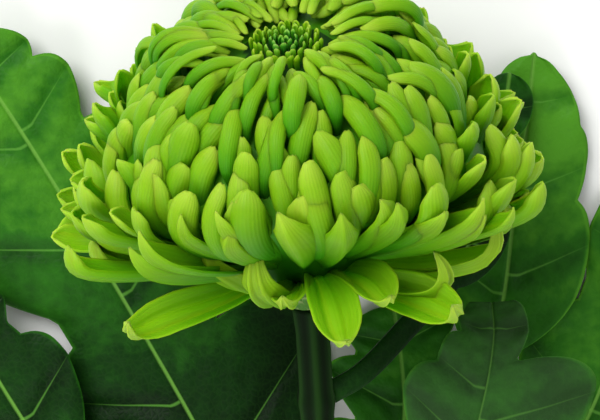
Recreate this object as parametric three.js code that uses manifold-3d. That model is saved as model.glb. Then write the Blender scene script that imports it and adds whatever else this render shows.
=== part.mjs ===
// A cut disbud chrysanthemum lying on its side: one large lime-green bloom on a short stem with leaves.
// Millimetres, +Z up, the bloom at +Y and the cut end of the stem at -Y. It lies on the plane Z = 0.
// Everything is laid out about the point on that plane below the bloom's middle, then shifted as a whole.
import * as THREE from "three";
import { mergeVertices } from "three/addons/utils/BufferGeometryUtils.js";
import Module from "manifold-3d";

const wasm = await Module();
wasm.setup();

// How the bloom lies: its middle above the surface, its face raised and turned a little to the left
const BLOOM_MIDDLE_HEIGHT = 54;
const FACE_RAISED_DEG = 8;
const FACE_TURNED_DEG = 5;

// The bloom in its own frame: origin in its widest ring's middle, +Z out of its face, -Y its upper side
const BLOOM_RADIUS = 57;
const DOME_HEIGHT = 55;
const SKIRT_DEPTH = 26;
const EYE_DEPTH = 3.5;
const FLORET_COUNT = 205;
const FIRST_ANGLE = 0.16;
const LAST_ANGLE = 2.06;
const LAST_ANGLE_IN_FRONT = 1.2;
const EYE_OFF_AXIS = 0.28;
const GOLDEN_ANGLE = Math.PI * (3 - Math.sqrt(5));
const BLOOM_SEED = 31;
const CORE_RADIUS = 40;
const CORE_TOP = 43;
const CORE_SIDES = 20;
const ROOT_SHARE = 0.93;
const BASE_RADIUS = 11;
const BASE_HEIGHT = -14;

// The calyx under it, and the stem. GAP is kept between pieces that touch.
const GAP = 0.3;
const WELD = 0.004;
const CALYX_BOTTOM = -22;
const BRACT_ROWS = 3;
const BRACTS_A_ROW = 11;
const STEM_RADIUS = 4.2;
const STEM_RIB = 0.25;
const STEM_RIBS = 6;
const STEM_SIDES = 12;
const STEM_STATIONS = 26;
const NODE_SWELLING = 0.9;

// The stem's middle line behind the neck, down to its cut end
const STEM_POINTS = [
  [3.6, -58, 43.5],
  [4.2, -96, 34.5],
  [3, -146, 22.5],
  [0.5, -200, 11],
  [-2, -254, 4.4],
];

// The leaves: a blade's thickness, and its petiole's half width, where the leaf doesn't say, and thickness
const BLADE_THICKNESS = 0.8;
const PETIOLE_HALF_WIDTH = 1.7;
const PETIOLE_THICKNESS = 2.4;
const LEAF_STATIONS = 27;
const LOBE_SHEAR = 0.55;
const LEAF_ARCH = 0.005;
const PETIOLE_STATIONS = 4;

// Each leaf: the share of the stem at which it grows, the middle line that it follows from there, the share
// of that line at which its blade begins, the lobes on its left and right, and how far its sides are raised,
// in degrees. A lobe is [middle, reach, half length], with the middle and the half length as shares of the
// line. The last lobe of each side is the web between the others.
const LEAVES = {
  leaf_left: {
    grows: 0.375,
    line: [
      [-9, -92, 28], [-18.5, -80, 15.5], [-31.5, -57, 10.5], [-45, -33, 8.5], [-59, -8, 8.5], [-72.5, 15, 9],
      [-84.5, 33, 8],
    ],
    blade: 0.2,
    left: [[0.42, 26, 0.12], [0.655, 37, 0.12], [0.81, 28, 0.11], [0.93, 14, 0.08], [0.57, 18, 0.27]],
    right: [
      [0.32, 40, 0.145], [0.58, 24, 0.11], [0.71, 25, 0.07], [0.83, 19, 0.09], [0.93, 14, 0.08],
      [0.57, 20, 0.3],
    ],
    raised: 5,
  },
  leaf_bottom_left: {
    grows: 0.5,
    line: [
      [-13, -118, 21], [-31, -108, 14], [-51, -91, 13.5], [-67, -68, 15], [-80, -46, 14.5], [-90, -29, 11],
    ],
    blade: 0.36,
    left: [[0.51, 15, 0.12], [0.71, 20, 0.12], [0.9, 13, 0.1], [0.67, 12, 0.28]],
    right: [[0.5, 22, 0.14], [0.71, 19, 0.12], [0.9, 12, 0.1], [0.67, 13, 0.28]],
    raised: 8,
  },
  leaf_upper_right: {
    grows: 0.385,
    line: [
      [17, -89, 30], [30, -77, 21], [42, -58, 13], [50, -36, 8], [53, -12, 6.5], [56, 12, 6], [57.5, 30, 5],
    ],
    blade: 0.49,
    left: [[0.6, 17, 0.12], [0.76, 16, 0.11], [0.9, 9, 0.095], [0.74, 10, 0.24]],
    right: [[0.63, 20, 0.13], [0.76, 16.5, 0.12], [0.9, 8.5, 0.095], [0.75, 14, 0.24]],
    raised: 3,
  },
  leaf_far_right: {
    grows: 0.52,
    line: [[18, -122, 18], [37, -112, 10], [58, -92, 5], [74, -64, 3], [84, -32, 2.6], [92, 2, 2.4]],
    blade: 0.32,
    left: [[0.47, 18, 0.12], [0.67, 24, 0.13], [0.88, 15, 0.12], [0.67, 14, 0.3]],
    right: [[0.47, 15, 0.12], [0.67, 22, 0.13], [0.88, 13, 0.12], [0.67, 12, 0.3]],
    raised: 4,
  },
  leaf_lower_right: {
    grows: 0.44,
    line: [
      [14.5, -104.5, 38.5], [25, -94, 42], [34, -77, 43], [40, -62, 44], [44, -46, 43], [46, -34, 39],
      [46, -27, 32],
    ],
    blade: 0.27,
    left: [[0.4, 14, 0.1], [0.6, 20, 0.14], [0.72, 13, 0.15], [0.89, 8.5, 0.15], [0.54, 6, 0.27]],
    right: [[0.42, 16, 0.1], [0.65, 26, 0.135], [0.89, 8.5, 0.15], [0.54, 8, 0.27]],
    raised: 6,
  },
  leaf_lower_middle: {
    grows: 0.47,
    line: [[11, -109, 20], [18, -96, 13], [24, -80, 9], [26, -63, 6.5], [25, -48, 5], [23, -35, 3.6]],
    blade: 0.31,
    left: [[0.46, 22, 0.15], [0.69, 19, 0.13], [0.88, 14, 0.12], [0.65, 13, 0.32]],
    right: [[0.47, 14, 0.14], [0.68, 19, 0.13], [0.88, 15, 0.12], [0.65, 12, 0.32]],
    raised: 3,
  },
  leaf_back_right: {
    grows: 0.14,
    line: [[15, -43, 37], [25, -35, 28], [38, -23, 17], [45, -6, 12.2], [49, 10, 11.8], [51, 26, 11]],
    blade: 0.44,
    left: [[0.57, 7, 0.1], [0.74, 8, 0.1], [0.91, 6, 0.09], [0.72, 5, 0.25]],
    right: [[0.57, 9, 0.1], [0.74, 10, 0.1], [0.91, 7, 0.09], [0.72, 5, 0.25]],
    raised: 2,
    petiole: 2.8,
  },
};

// The middle of the whole flower's box, seen from above
const BOX_MIDDLE = { x: 0, y: -100 };

const TURN = Math.PI * 2;
const radians = THREE.MathUtils.degToRad;
const lerp = THREE.MathUtils.lerp;
const smooth = THREE.MathUtils.smoothstep;
const vec = (x, y, z) => new THREE.Vector3(x, y, z);

// A seeded row of numbers from 0 to 1
function seeded(seed) {
  let state = seed;
  return () => {
    state = (state * 1664525 + 1013904223) % 4294967296;
    return state / 4294967296;
  };
}

// Reads a value off a list of [position, value] pairs, in a straight line between them
function along(pairs, position) {
  const next = pairs.findIndex(([at]) => at > position);
  if (next < 0) return pairs[pairs.length - 1][1];
  if (next === 0) return pairs[0][1];
  const [before, low] = pairs[next - 1];
  const [after, high] = pairs[next];
  return lerp(low, high, (position - before) / (after - before));
}

// A closed body through rings with the same number of points, capped at both ends. From the point named
// crossed onwards the sides are split the other way, so that the two faces of a blade are split alike.
function loft(rings, crossed = Infinity) {
  const count = rings[0].length;
  const index = [];
  for (let i = 0; i + 1 < rings.length; i++) {
    for (let k = 0; k < count; k++) {
      const a = i * count + k;
      const b = i * count + ((k + 1) % count);
      const [c, d] = [a + count, b + count];
      if (k < crossed) {
        index.push(a, b, d, a, d, c);
      } else {
        index.push(a, b, c, b, d, c);
      }
    }
  }
  const last = (rings.length - 1) * count;
  for (let k = 1; k + 1 < count; k++) {
    index.push(0, k + 1, k);
    index.push(last, last + k, last + k + 1);
  }
  const positions = rings.flat().flatMap((p) => p.toArray());
  const geometry = new THREE.BufferGeometry();
  geometry.setAttribute("position", new THREE.Float32BufferAttribute(positions, 3));
  geometry.setIndex(index);
  return geometry;
}

// A turned body from a profile of [radius, height] pairs, listed from its bottom to its top
function turned(profile, sides) {
  return loft(profile.map(([radius, height]) => circle(sides, () => radius, height)));
}

function circle(sides, radiusAt, height) {
  return Array.from({ length: sides }, (_, k) => {
    const angle = (TURN * k) / sides;
    return vec(radiusAt(angle) * Math.cos(angle), radiusAt(angle) * Math.sin(angle), height);
  });
}

function solidOf(geometry) {
  const vertProperties = new Float32Array(geometry.getAttribute("position").array);
  const triVerts = new Uint32Array(geometry.index.array);
  return new wasm.Manifold(new wasm.Mesh({ numProp: 3, vertProperties, triVerts }));
}

function geometryOf(solid) {
  const { vertProperties, triVerts } = solidOf(welded(geometryFrom(solid.getMesh()))).getMesh();
  const geometry = geometryFrom({ vertProperties, triVerts: largestShell(vertProperties, triVerts) });
  geometry.computeVertexNormals();
  return geometry;
}

function geometryFrom({ vertProperties, triVerts }) {
  const geometry = new THREE.BufferGeometry();
  geometry.setAttribute("position", new THREE.Float32BufferAttribute(vertProperties, 3));
  geometry.setIndex([...triVerts]);
  return geometry;
}

// Merges corners that joining left almost on each other. The second pass catches those that the first
// pass's rounding parted, because it rounds half a step away.
function welded(geometry) {
  let whole = geometry;
  for (const shift of [WELD / 2, -WELD / 2]) {
    whole = mergeVertices(whole.translate(shift, shift, shift), WELD);
  }
  const corners = [...whole.index.array];
  const keeps = (i) => new Set(corners.slice(i - (i % 3), i - (i % 3) + 3)).size === 3;
  return whole.setIndex(corners.filter((_, i) => keeps(i)));
}

// The triangles of the largest closed surface alone, so that sealed hollows are filled and scraps dropped
function largestShell(positions, triangles) {
  const parent = Array.from({ length: positions.length / 3 }, (_, k) => k);
  const find = (k) => {
    while (parent[k] !== k) k = parent[k] = parent[parent[k]];
    return k;
  };
  const volumes = new Map();
  const corner = (k) => vec(positions[3 * k], positions[3 * k + 1], positions[3 * k + 2]);
  for (let i = 0; i < triangles.length; i += 3) {
    parent[find(triangles[i])] = find(triangles[i + 1]);
    parent[find(triangles[i + 1])] = find(triangles[i + 2]);
  }
  for (let i = 0; i < triangles.length; i += 3) {
    const [a, b, c] = [0, 1, 2].map((k) => corner(triangles[i + k]));
    const shell = find(triangles[i]);
    volumes.set(shell, (volumes.get(shell) ?? 0) + a.dot(b.cross(c)) / 6);
  }
  const [largest] = [...volumes].sort((one, other) => other[1] - one[1])[0];
  return [...triangles].filter((_, k) => find(triangles[k - (k % 3)]) === largest);
}

// A block that fills all below the surface that the flower lies on, in the frame that a matrix places on it
function blockBelowSurface(frame) {
  const size = 600;
  const outline = [[-size, -size], [size, -size], [size, size], [-size, size]];
  const ringAt = (height) => outline.map(([x, y]) => vec(x, y, height));
  return solidOf(loft([ringAt(-size), ringAt(0)]).applyMatrix4(frame.clone().invert()));
}

// Finishes
function finish(name, color, roughness) {
  return new THREE.MeshStandardMaterial({ name, color, roughness, metalness: 0, flatShading: true });
}

const petalGreen = finish("petal_lime", 0x93cc3a, 0.55);
const calyxGreen = finish("calyx_green", 0x5d8a34, 0.6);
const stemGreen = finish("stem_green", 0x35562a, 0.55);
const leafGreen = finish("leaf_green", 0x33672a, 0.5);

function piece(name, geometry, material) {
  const mesh = new THREE.Mesh(geometry, material);
  mesh.name = name;
  return mesh;
}

// How a floret grows, by the angle of its tip down from the eye, in radians: how far its tip stands off the
// dome in degrees, its half width, its cupping as a share of that, and the direction in degrees above level
// in which it leaves the receptacle
const TIP_LIFT = [[0.16, -20], [0.4, 0], [0.7, 14], [1.1, 28], [1.5, 36], [1.75, 44], [1.9, 60], [2.06, 80]];
const HALF_WIDTH = [[0.14, 1.4], [0.35, 2.3], [0.6, 3.3], [1, 4.1], [1.5, 4.5], [1.8, 4.9], [2.1, 5.2]];
const CUPPING = [[0.14, 0.8], [1.3, 0.7], [1.7, 0.5], [2.1, 0.35]];
const LEAVING = [[0.1, 84], [0.5, 50], [0.9, 24], [1.3, 4], [1.6, -8], [2.1, -16]];

// The florets that spread or hang below the dome on its upper side: the azimuth of the tip in degrees, its
// distance from the axis, its height, its direction above level and the direction in which the floret leaves
// the receptacle, both in degrees, and the half width
const HANGING_FLORETS = [
  [-146, 56, -15, -20, -16, 5.4],
  [-131, 41, 5, 30, -18, 4.6],
  [-108, 42, 4, 44, -24, 5],
  [-98, 38, -11, -40, -10, 4.6],
  [-81, 44, -19, -62, 14, 6.2],
  [-64, 42, -13, -52, 8, 5.4],
  [-44, 52, -15, -18, -12, 6.2],
  [-24, 56, -4, 22, -14, 5],
];

// Where a tip lies, by its angle down from the eye and its azimuth round it. The eye itself is off the
// dome's axis, towards its upper side, and the difference dies out down the dome.
function tipPlace(angle, azimuth) {
  const level = Math.sin(angle);
  const way = vec(level * Math.cos(azimuth), level * Math.sin(azimuth), Math.cos(angle));
  way.applyAxisAngle(vec(1, 0, 0), EYE_OFF_AXIS * Math.max(0, Math.cos(angle)));
  const sunk = EYE_DEPTH * (1 - smooth(angle, 0.12, 0.42));
  const height = way.z > 0 ? DOME_HEIGHT : SKIRT_DEPTH;
  return vec(BLOOM_RADIUS * way.x, BLOOM_RADIUS * way.y, height * way.z - sunk);
}

// The skirt ends sooner on the upper side, where only a few florets spread and hang
function lastAngle(azimuth) {
  const upper = (1 - Math.sin(azimuth)) / 2;
  return lerp(LAST_ANGLE, LAST_ANGLE_IN_FRONT, upper ** 2);
}

function seededFlorets() {
  const draw = seeded(BLOOM_SEED);
  const around = () => draw() - 0.5;
  const made = [];
  for (let k = 0; k < FLORET_COUNT; k++) {
    const angle = lerp(FIRST_ANGLE, LAST_ANGLE, Math.pow((k + 0.5) / FLORET_COUNT, 1.1)) + 0.05 * around();
    const azimuth = k * GOLDEN_ANGLE + 0.1 * around();
    const lift = along(TIP_LIFT, angle) + 14 * around();
    const width = along(HALF_WIDTH, angle) * (1 + 0.14 * around());
    const longer = 1.01 + 0.05 * around();
    if (angle > lastAngle(azimuth)) continue;
    const tip = tipPlace(angle, azimuth);
    const height = tip.z > 0 ? DOME_HEIGHT : SKIRT_DEPTH;
    const outward = vec(tip.x, tip.y, tip.z * (BLOOM_RADIUS / height) ** 2).normalize();
    const eyeward = tipPlace(0, 0).sub(tip);
    eyeward.addScaledVector(outward, -eyeward.dot(outward)).normalize();
    const direction = eyeward.clone().multiplyScalar(Math.cos(radians(lift)));
    made.push(floret(azimuth, tip.multiplyScalar(longer), {
      direction: direction.addScaledVector(outward, Math.sin(radians(lift))),
      across: eyeward.cross(outward),
      leaving: along(LEAVING, angle),
      halfWidth: width,
      cupping: along(CUPPING, angle),
      rooted: smooth(angle, 0.2, 1.8),
    }));
  }
  return made;
}

function hangingFlorets() {
  return HANGING_FLORETS.map(([degreesRound, reach, height, direction, leaving, halfWidth]) => {
    const azimuth = radians(degreesRound);
    return floret(azimuth, flat(azimuth, reach, height), {
      direction: flat(azimuth, Math.cos(radians(direction)), Math.sin(radians(direction))),
      across: vec(-Math.sin(azimuth), Math.cos(azimuth), 0),
      leaving,
      halfWidth,
      cupping: 0.3,
      rooted: 1,
    });
  });
}

function flat(azimuth, reach, height) {
  return vec(reach * Math.cos(azimuth), reach * Math.sin(azimuth), height);
}

// A floret with its middle line, from the receptacle to its tip
function floret(azimuth, tip, { direction, across, leaving, halfWidth, cupping, rooted }) {
  const root = flat(azimuth, lerp(1, BASE_RADIUS - 3, rooted), lerp(-4, BASE_HEIGHT + 3, rooted));
  const handle = 0.45 * root.distanceTo(tip);
  const leaves = radians(leaving);
  const first = root.clone().add(flat(azimuth, handle * Math.cos(leaves), handle * Math.sin(leaves)));
  const second = tip.clone().addScaledVector(direction, -handle);
  return { line: new THREE.CubicBezierCurve3(root, first, second, tip), across, halfWidth, cupping };
}

// How deep in the core a point lies: 1 on its surface, less inside it
function coreShare(point) {
  const reach = Math.hypot(point.x, point.y);
  const height = point.z > 0 ? CORE_TOP : -BASE_HEIGHT * 0.6;
  return Math.hypot(reach / CORE_RADIUS, point.z / height);
}

// One floret: a cupped, blunt blade of four sides along its middle line, rooted inside the core
const FLORET_STATIONS = [0, 0.45, 0.8, 1];
const FLORET_FULLNESS = [0.45, 0.95, 0.9, 0.4];
function floretSolid({ line, across, halfWidth, cupping }) {
  let rooted = 0.9;
  while (rooted > 0.2 && coreShare(line.getPoint(rooted)) > ROOT_SHARE) rooted -= 0.02;
  const rings = FLORET_STATIONS.map((share, i) => {
    const at = lerp(rooted, 1, share);
    const here = line.getPoint(at);
    const forward = line.getTangent(at);
    const side = across.clone().addScaledVector(forward, -across.dot(forward)).normalize();
    const inward = forward.cross(side);
    const half = halfWidth * FLORET_FULLNESS[i];
    const cup = half * cupping;
    const point = (aside, lift) =>
      here.clone().addScaledVector(side, aside * half).addScaledVector(inward, lift);
    return [point(-1, cup), point(0, -0.6), point(1, cup), point(0, 0.3 * cup + 0.7)];
  });
  return solidOf(loft(rings));
}

function bloomCore() {
  const profile = [[BASE_RADIUS, BASE_HEIGHT], [CORE_RADIUS * 0.8, -8]];
  for (let k = 0; k <= 5; k++) {
    const angle = (k / 5.2) * (Math.PI / 2);
    profile.push([CORE_RADIUS * Math.cos(angle), CORE_TOP * Math.sin(angle)]);
  }
  return solidOf(turned(profile, CORE_SIDES));
}

function bloomSolid(frame) {
  const grown = [...seededFlorets(), ...hangingFlorets()].map(floretSolid);
  return grown.reduce((whole, floret) => whole.add(floret), bloomCore()).subtract(blockBelowSurface(frame));
}

// The calyx: a cup of small overlapping bracts
function calyxSolid() {
  const top = BASE_HEIGHT - GAP;
  const depth = top - CALYX_BOTTOM;
  const cup = [[4.9, CALYX_BOTTOM], [6.4, CALYX_BOTTOM + 1.2], [9.8, top - 2], [BASE_RADIUS - 0.4, top]];
  let whole = solidOf(turned(cup, 16));
  for (let row = 0; row < BRACT_ROWS; row++) {
    for (let k = 0; k < BRACTS_A_ROW; k++) {
      const turn = TURN * ((k + 0.5 * (row % 2)) / BRACTS_A_ROW);
      const low = CALYX_BOTTOM + 1 + (depth * 0.55 * row) / BRACT_ROWS;
      whole = whole.add(bractSolid(low, turn));
    }
  }
  return whole;
}

function bractSolid(low, turn) {
  const stations = [[0, 1.5, 0], [1.8, 1.7, 1.4], [3.7, 0.5, 2.3]];
  const radiusAt = (height) => along([[CALYX_BOTTOM, 4.6], [BASE_HEIGHT, BASE_RADIUS - 1]], height);
  const rings = stations.map(([up, half, out]) => {
    const radius = radiusAt(low + up) + 0.25 * out;
    const corners = [[-1.3, -half], [0.6, 0], [-1.3, half]];
    return corners.map(([beyond, aside]) => vec(radius + beyond, aside, low + up));
  });
  return solidOf(loft(rings).rotateZ(turn));
}

// The stem: a ribbed round tube swollen a little at each leaf
function stemCurve(frame) {
  const neck = vec(0, 0, CALYX_BOTTOM - 2 * GAP).applyMatrix4(frame);
  const points = STEM_POINTS.map(([x, y, z]) => vec(x, y, z));
  return new THREE.CatmullRomCurve3([neck, ...points], false, "catmullrom", 0.5);
}

function stemRadius(share) {
  const swelling = Object.values(LEAVES).map((leaf) => Math.exp(-(((share - leaf.grows) / 0.013) ** 2)));
  return STEM_RADIUS + 0.5 * (1 - smooth(share, 0, 0.04)) + NODE_SWELLING * Math.max(...swelling) * 0.5;
}

function stemSolid(curve) {
  const rings = [];
  for (let i = 0; i < STEM_STATIONS; i++) {
    const share = i / (STEM_STATIONS - 1);
    const here = curve.getPoint(share);
    const forward = curve.getTangent(share);
    const across = forward.clone().cross(vec(0, 0, 1)).normalize();
    const up = across.clone().cross(forward);
    const radiusAt = (angle) => stemRadius(share) + STEM_RIB * Math.cos(STEM_RIBS * angle);
    rings.push(circle(STEM_SIDES, radiusAt, 0).map(({ x, y }) =>
      here.clone().addScaledVector(up, x).addScaledVector(across, y)));
  }
  return solidOf(loft(rings)).subtract(blockBelowSurface(new THREE.Matrix4()));
}

// A leaf: petiole and blade as one thin arched body, lobed on both sides
function lobedWidth(lobes, share) {
  const widths = lobes.map(([middle, reach, half]) =>
    reach * Math.sqrt(Math.max(0, 1 - ((share - middle) / half) ** 2)));
  return Math.max(...widths);
}

function leafGeometry(leaf, curve) {
  const points = leaf.line.map(([x, y, z]) => vec(x, y, z));
  const stemMiddle = curve.getPoint(leaf.grows);
  const stemWay = curve.getTangent(leaf.grows);
  const outward = points[0].clone().sub(stemMiddle);
  outward.addScaledVector(stemWay, -outward.dot(stemWay)).normalize();
  const start = stemMiddle.addScaledVector(outward, stemRadius(leaf.grows) + STEM_RIB + 2 * GAP);
  const line = new THREE.CatmullRomCurve3([start, ...points], false, "catmullrom", 0.5);
  const rings = [];
  for (let i = 0; i < LEAF_STATIONS; i++) {
    const beyond = (i - PETIOLE_STATIONS) / (LEAF_STATIONS - 1 - PETIOLE_STATIONS);
    const share = beyond < 0 ? (leaf.blade * i) / PETIOLE_STATIONS : lerp(leaf.blade, 1, beyond);
    rings.push(leafRing(leaf, line, share));
  }
  return loft(rings, LEAF_SIDES.length);
}

const LEAF_SIDES = [-1, -0.5, 0, 0.5, 1];
function leafRing(leaf, line, share) {
  const here = line.getPoint(share);
  const forward = line.getTangent(share);
  const right = forward.clone().cross(vec(0, 0, 1)).normalize();
  const up = right.clone().cross(forward);
  const blade = smooth(share, leaf.blade - 0.04, leaf.blade + 0.06);
  const thick = lerp(PETIOLE_THICKNESS, BLADE_THICKNESS, blade);
  const strip = lerp(leaf.petiole ?? PETIOLE_HALF_WIDTH, 3, blade) * (1 - 0.9 * smooth(share, 0.94, 1));
  const shear = LOBE_SHEAR * (1 - smooth(share, 0.8, 1));
  const point = (side, top) => {
    const width = Math.max(strip, lobedWidth(side < 0 ? leaf.left : leaf.right, share));
    const reach = Math.abs(side) * width;
    const lift = blade * (reach * Math.tan(radians(leaf.raised)) - LEAF_ARCH * reach * reach);
    return here.clone()
      .addScaledVector(right, Math.sign(side) * reach)
      .addScaledVector(forward, shear * Math.max(0, reach - strip))
      .addScaledVector(up, lift + (top ? thick / 2 : -thick / 2));
  };
  return [
    ...LEAF_SIDES.map((side) => point(side, true)),
    ...LEAF_SIDES.toReversed().map((side) => point(side, false)),
  ];
}

// The whole flower
const bloomFrame = new THREE.Group();
bloomFrame.position.set(0, 0, BLOOM_MIDDLE_HEIGHT);
bloomFrame.rotation.set(radians(FACE_RAISED_DEG - 90), 0, radians(FACE_TURNED_DEG), "ZYX");
bloomFrame.updateMatrix();
bloomFrame.add(piece("bloom", geometryOf(bloomSolid(bloomFrame.matrix)), petalGreen));
bloomFrame.add(piece("calyx", geometryOf(calyxSolid()), calyxGreen));

const stem = stemCurve(bloomFrame.matrix);
const laidFlower = new THREE.Group();
laidFlower.position.set(-BOX_MIDDLE.x, -BOX_MIDDLE.y, 0);
laidFlower.add(bloomFrame);
laidFlower.add(piece("stem", geometryOf(stemSolid(stem)), stemGreen));
for (const [name, leaf] of Object.entries(LEAVES)) {
  laidFlower.add(piece(name, leafGeometry(leaf, stem), leafGreen));
}

const flower = new THREE.Group();
flower.add(laidFlower);

export default flower;
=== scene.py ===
# A cut disbud chrysanthemum lying on a pale floor, seen from above its face.
# Lengths are in millimetres until a piece is made; pieces are in metres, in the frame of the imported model.
import math
import random
import bpy
import numpy as np
from mathutils import Matrix, Vector


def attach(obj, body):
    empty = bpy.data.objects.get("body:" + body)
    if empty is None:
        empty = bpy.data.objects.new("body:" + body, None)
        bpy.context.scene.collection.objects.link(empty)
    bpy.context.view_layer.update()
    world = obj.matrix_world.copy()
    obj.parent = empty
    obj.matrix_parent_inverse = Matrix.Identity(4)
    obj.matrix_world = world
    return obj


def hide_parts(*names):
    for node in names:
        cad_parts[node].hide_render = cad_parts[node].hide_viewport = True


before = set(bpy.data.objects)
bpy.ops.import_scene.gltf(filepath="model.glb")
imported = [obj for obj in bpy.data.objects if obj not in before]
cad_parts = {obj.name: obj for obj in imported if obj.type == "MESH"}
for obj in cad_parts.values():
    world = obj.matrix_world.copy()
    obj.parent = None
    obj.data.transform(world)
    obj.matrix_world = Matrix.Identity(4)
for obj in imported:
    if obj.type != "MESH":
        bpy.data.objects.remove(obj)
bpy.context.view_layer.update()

MM = 0.001
TO_MODEL = np.array([0.0, 100.0, 0.0])      # the point below the bloom's middle, in the model's frame
LOWEST = 0.05                               # what would reach below this height is pressed flat at it

# Small helpers


def smooth(value, low, high):
    """0 below low, 1 above high, and an even curve between."""
    share = np.clip((value - low) / (high - low), 0.0, 1.0)
    return share * share * (3 - 2 * share)


def along(pairs, position):
    """Reads a value off (position, value) pairs, in a straight line between them."""
    return np.interp(position, [p for p, _ in pairs], [v for _, v in pairs])


def spread(draw, width):
    """A drawn number, from half the width below nought to half the width above."""
    return width * (draw.random() - 0.5)


def unit(vectors):
    """The same directions at length 1."""
    return vectors / np.maximum(np.linalg.norm(vectors, axis=-1, keepdims=True), 1e-9)


def rolled(first, second, angle):
    """Two directions at right angles, turned in their own plane."""
    return np.cos(angle) * first + np.sin(angle) * second, np.cos(angle) * second - np.sin(angle) * first


def steps_between(points):
    """The lengths of the steps from each point to the next."""
    return np.linalg.norm(np.diff(points, axis=0), axis=1)


def round_ring(radius, height, turns):
    """Points on a level circle."""
    return [(radius * math.cos(turn), radius * math.sin(turn), height) for turn in turns]


def spline(points, share):
    """Points at the shares of the way along a Catmull-Rom curve through points, and directions there."""
    points = np.array(points, float)
    padded = np.vstack([2 * points[0] - points[1], points, 2 * points[-1] - points[-2]])
    place = np.clip(share, 0, 1) * (len(points) - 1)
    step = np.minimum(place.astype(int), len(points) - 2)
    w = (place - step)[:, None]
    before, start, end, after = (padded[step + k] for k in range(4))
    leaving, arriving = 0.5 * (end - before), 0.5 * (after - start)
    square = -3 * start + 3 * end - 2 * leaving - arriving
    cube = 2 * start - 2 * end + leaving + arriving
    here = start + leaving * w + square * w**2 + cube * w**3
    return here, unit(leaving + 2 * square * w + 3 * cube * w**2)


def bezier(corners, share):
    """Points on a cubic Bezier curve at the shares of the way, and the directions there."""
    a, b, c, d = (np.array(p, float) for p in corners)
    s = share[:, None]
    place = (1 - s) ** 3 * a + 3 * (1 - s) ** 2 * s * b + 3 * (1 - s) * s**2 * c + s**3 * d
    way = 3 * (1 - s) ** 2 * (b - a) + 6 * (1 - s) * s * (c - b) + 3 * s**2 * (d - c)
    return place, unit(way)


class Skin:
    """Gathers closed lofted bodies, with two UV maps, for one piece."""

    def __init__(self):
        self.points, self.faces, self.uv, self.extra, self.count = [], [], [], [], 0

    def loft(self, rings, uv, extra):
        """Adds a closed body through rings[station, point, xyz]; uv and extra are [station, point, 2]."""
        stations, around = rings.shape[:2]
        ids = self.count + np.arange(stations * around).reshape(stations, around)
        after = np.roll(ids, -1, axis=1)
        sides = np.stack([ids[:-1], after[:-1], after[1:], ids[1:]], axis=-1).reshape(-1, 4)
        self.faces += sides.tolist() + [ids[0, ::-1].tolist(), ids[-1].tolist()]
        self.points.append(rings.reshape(-1, 3))
        self.uv.append(np.broadcast_to(uv, rings.shape[:2] + (2,)).reshape(-1, 2))
        self.extra.append(np.broadcast_to(extra, rings.shape[:2] + (2,)).reshape(-1, 2))
        self.count += stations * around

    def piece(self, name, material, nodes, slot, rows=None):
        """Makes the piece that stands for the nodes, in metres, riding on the flower's one body."""
        points = np.vstack(self.points)
        if rows is not None:
            points = points @ rows[:3, :3].T + rows[:3, 3]
        points = points + TO_MODEL
        points[:, 2] = np.maximum(points[:, 2], LOWEST)
        mesh = bpy.data.meshes.new(name)
        mesh.from_pydata((points * MM).tolist(), [], self.faces)
        corner = np.empty(len(mesh.loops), np.int32)
        mesh.loops.foreach_get("vertex_index", corner)
        for title, values in (("place", np.vstack(self.uv)), ("tone", np.vstack(self.extra))):
            layer = mesh.uv_layers.new(name=title)
            layer.data.foreach_set("uv", values[corner].astype(np.float32).ravel())
        mesh.shade_smooth()
        mesh.update()
        mesh.materials.append(material)
        made = bpy.data.objects.new(name, mesh)
        bpy.context.scene.collection.objects.link(made)
        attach(made, "root")
        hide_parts(*nodes)


# Materials


def linear(code):
    """An sRGB hex colour as linear red, green and blue, with a full alpha."""
    channels = [int(code[i:i + 2], 16) / 255 for i in (1, 3, 5)]
    return [c / 12.92 if c <= 0.04045 else ((c + 0.055) / 1.055) ** 2.4 for c in channels] + [1.0]


def add(tree, kind, output, settings, **values):
    """Adds a node with its settings, and its inputs' values or links by socket name, or by number as i0,
    i1 and so on. Stops are a colour ramp's positions and colours. Gives the output of that number."""
    node = tree.nodes.new(kind)
    for name, value in settings.items():
        if name == "stops":
            band = node.color_ramp.elements
            while len(band) < len(value):
                band.new(0.5)
            for element, (position, code) in zip(band, value):
                element.position, element.color = position, linear(code)
        else:
            setattr(node, name, value)
    for name, value in values.items():
        socket = node.inputs[int(name[1:])] if name[1:].isdigit() else node.inputs[name]
        if isinstance(value, bpy.types.NodeSocket):
            tree.links.new(value, socket)
        else:
            socket.default_value = value
    return node.outputs[output]


def tissue(name, **settings):
    """A new plant tissue: its material, its tree, its shader, and what the two UV maps hold, which is the
    first map, its two numbers and the two numbers of the second. Constant values are set on the shader's
    own sockets."""
    material = bpy.data.materials.new(name)
    material.use_nodes = True
    tree = material.node_tree
    shader = tree.nodes["Principled BSDF"]
    for socket, value in settings.items():
        shader.inputs[socket.replace("_", " ")].default_value = value
    maps = [add(tree, "ShaderNodeUVMap", 0, {"uv_map": title}) for title in ("place", "tone")]
    numbers = [add(tree, "ShaderNodeSeparateXYZ", k, {}, Vector=held) for held in maps for k in (0, 1)]
    return material, tree, shader, maps[:1] + numbers


MIXED = {"data_type": "RGBA"}
DEEPENED = {"data_type": "RGBA", "blend_type": "MULTIPLY"}
TIMES = {"operation": "MULTIPLY"}
TIMES_UP_TO_ONE = {"operation": "MULTIPLY", "use_clamp": True}
PLUS = {"operation": "ADD"}
PLUS_UP_TO_ONE = {"operation": "ADD", "use_clamp": True}
MINUS = {"operation": "SUBTRACT"}
MINUS_DOWN_TO_NOUGHT = {"operation": "SUBTRACT", "use_clamp": True}

# A ring's angle at which the eye's deep green, painted shade of its hollow, has gone, and how steeply it
# goes, by the radian
EYE_SHADE_TO, EYE_SHADE_STEEPNESS = 0.14, 14.0


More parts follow.
